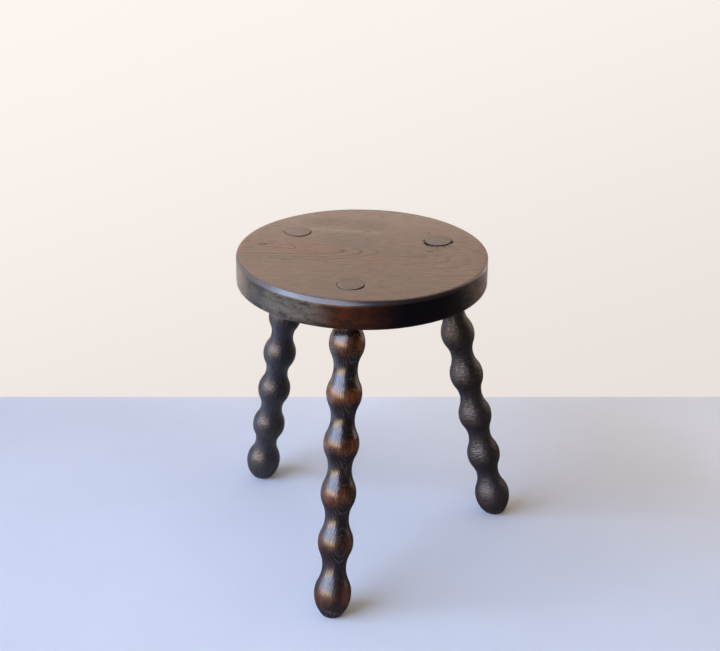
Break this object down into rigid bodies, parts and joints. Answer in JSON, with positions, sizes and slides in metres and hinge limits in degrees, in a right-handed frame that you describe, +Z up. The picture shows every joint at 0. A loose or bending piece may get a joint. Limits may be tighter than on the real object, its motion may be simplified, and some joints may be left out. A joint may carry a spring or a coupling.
{
  "type": "milking stool",
  "caption": "Low wooden stool: a round slab seat on splayed bobbin-turned legs, whose round tenons pass through the seat and show on top.",
  "frame": {"origin": "on the floor, at the middle of the stool's bounding box", "axes": "+Z up, square to the seat's flat top; the front leg is towards -Y; +X is to the right, seen from the front"},
  "size_m": [0.3318, 0.3385, 0.3576],
  "materials": {
    "seat_wood": "dark stained board, worn and waxed to a satin sheen",
    "leg_wood": "near-black brown stain, polished, worn redder on the bulbs"
  },
  "bodies": {
    "root": {"seat": "seat_wood", "front_leg": "leg_wood", "right_leg": "leg_wood", "left_leg": "leg_wood"}
  },
  "joints": []
}
